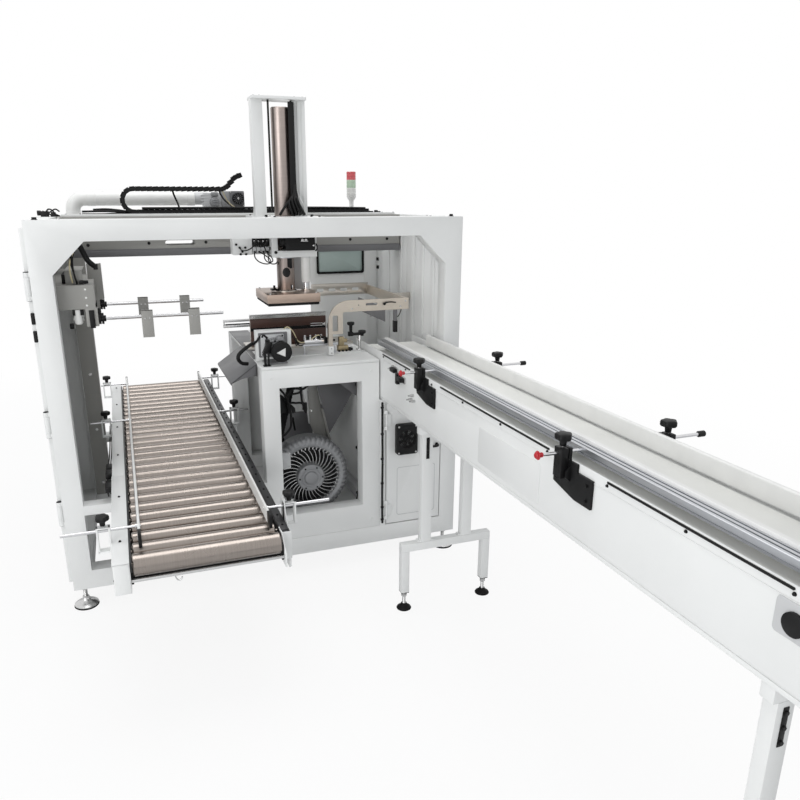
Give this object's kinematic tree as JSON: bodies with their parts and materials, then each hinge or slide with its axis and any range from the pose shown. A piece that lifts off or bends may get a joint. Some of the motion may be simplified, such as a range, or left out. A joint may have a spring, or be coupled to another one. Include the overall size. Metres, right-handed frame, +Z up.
{
  "type": "case packing machine",
  "caption": "Case packing machine: a vacuum head on a top gantry lifts packs from an infeed belt into cases on a roller conveyor, in a gusseted frame.",
  "frame": {"origin": "centre of the underside of the front left levelling foot, on the floor", "axes": "+X right along the front, +Y back into the machine, +Z up"},
  "size_m": [1.885, 3.96, 2.14],
  "materials": {
    "white_paint": "satin",
    "stainless": "brushed",
    "grey_paint": "satin",
    "black_plastic": "matte",
    "chrome": "polished",
    "aluminium": "anodised",
    "black_rubber": "matte",
    "white_belt": "matte",
    "white_plastic": "satin",
    "teal_glass": "clear"
  },
  "bodies": {
    "machine": {"front_portal": "white_paint", "rear_portal": "white_paint", "left_top_beam": "white_paint", "left_base_beam": "white_paint", "right_side_frame": "white_paint", "front_left_foot": "stainless", "front_right_foot": "stainless", "rear_left_foot": "stainless", "rear_right_foot": "stainless", "right_front_panel": "white_paint", "right_rear_panel": "white_paint", "rear_panel": "white_paint", "rear_window": "teal_glass", "cabinet_frame": "white_paint", "table_top": "white_paint", "ring_blower": "grey_paint", "blower_hose": "black_rubber", "door_surround": "white_paint", "door_cable": "black_plastic", "infeed_frame": "white_paint", "infeed_belt": "white_belt", "near_clamp_1": "black_plastic", "near_clamp_2": "black_plastic", "far_clamp_1": "black_plastic", "far_clamp_2": "black_plastic", "infeed_stand_1": "white_paint", "infeed_stand_2": "white_paint", "left_roller_rail": "white_paint", "right_roller_rail": "grey_paint", "roller_bed": "chrome", "flap_unit": "grey_paint", "front_flap_rod": "chrome", "rear_flap_rod": "chrome", "front_gantry_beam": "white_paint", "rear_gantry_beam": "white_paint", "drag_chain": "black_plastic", "duct_pipe": "white_plastic", "duct_fan_drive": "aluminium", "signal_light": "white_plastic", "transfer_lane": "stainless", "transfer_chute": "stainless", "guard_rail": "stainless", "lane_sensor": "stainless", "table_gearmotor": "white_paint"},
    "carriage": {"carriage_plate": "white_paint", "lift_column": "white_paint", "ram_guide": "stainless", "carriage_brake": "black_plastic", "carriage_valves": "grey_paint"},
    "lift_head": {"vacuum_head": "stainless", "head_pad": "black_rubber"},
    "left_guide": {"left_case_guide": "white_plastic"},
    "right_guide": {"right_case_guide": "white_plastic"},
    "near_lane_guide": {"near_guide": "aluminium"},
    "far_lane_guide": {"far_guide": "white_plastic"},
    "service_door": {"front_door": "white_paint", "door_handle": "black_plastic", "door_fan": "black_plastic"},
    "side_door": {"left_side_door": "white_paint"}
  },
  "joints": [
    {"name": "carriage_slide", "type": "slide", "parent": "machine", "child": "carriage", "axis": [-1, 0, 0], "range_m": [0, 0.6]},
    {"name": "head_lift", "type": "slide", "parent": "carriage", "child": "lift_head", "axis": [0, 0, 1], "range_m": [-0.04, 0.12]},
    {"name": "left_guide_slide", "type": "slide", "parent": "machine", "child": "left_guide", "axis": [1, 0, 0], "range_m": [-0.06, 0.03]},
    {"name": "right_guide_slide", "type": "slide", "parent": "machine", "child": "right_guide", "axis": [-1, 0, 0], "range_m": [-0.03, 0.05]},
    {"name": "near_lane_guide_slide", "type": "slide", "parent": "machine", "child": "near_lane_guide", "axis": [1, 0, 0], "range_m": [-0.02, 0.04]},
    {"name": "far_lane_guide_slide", "type": "slide", "parent": "machine", "child": "far_lane_guide", "axis": [-1, 0, 0], "range_m": [0, 0.06]},
    {"name": "service_door_hinge", "type": "hinge", "parent": "machine", "child": "service_door", "pos_m": [1.3943, -0.047, 0.49], "axis": [0, 0, -1], "range_deg": [0, 100]},
    {"name": "side_door_hinge", "type": "hinge", "parent": "machine", "child": "side_door", "pos_m": [-0.052, -0.023, 0.87], "axis": [0, 0, 1], "range_deg": [0, 100]}
  ]
}
